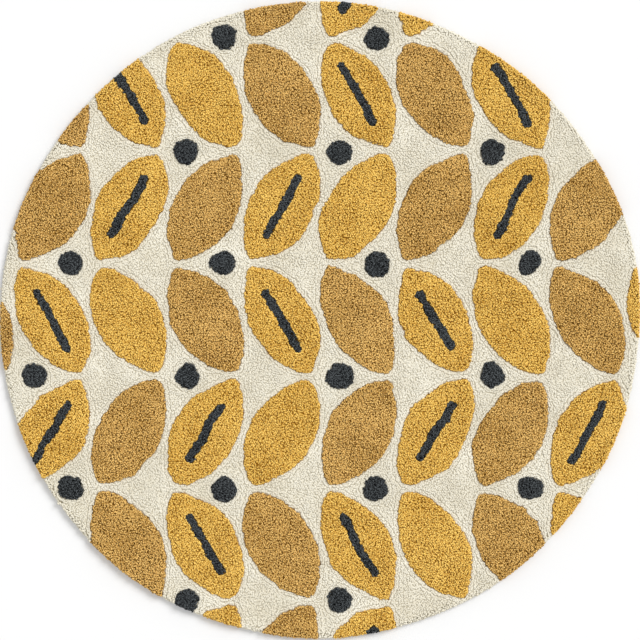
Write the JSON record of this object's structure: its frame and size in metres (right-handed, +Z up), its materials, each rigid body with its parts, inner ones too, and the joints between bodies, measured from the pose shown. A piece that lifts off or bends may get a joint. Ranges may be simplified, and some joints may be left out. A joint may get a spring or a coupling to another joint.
{
  "type": "kids rug",
  "caption": "Round tufted kids rug that lies flat, with rows of raised leaf and berry pads carved in its short cut pile.",
  "frame": {"origin": "on the floor, under the middle of the rug's outline box", "axes": "+Z up, out of the pile; +Y towards the top of the picture; +X towards its right"},
  "size_m": [1.1038, 1.0996, 0.0163],
  "materials": {
    "pile_mustard": "matt cut pile of cotton yarn, mustard",
    "pile_tan": "matt cut pile of cotton yarn, tan",
    "pile_cream": "matt cut pile of cotton yarn, cream",
    "pile_charcoal": "matt cut pile of cotton yarn, charcoal",
    "backing": "plain woven cotton canvas, unbleached"
  },
  "bodies": {
    "root": {"rug": "pile_mustard"}
  },
  "joints": []
}
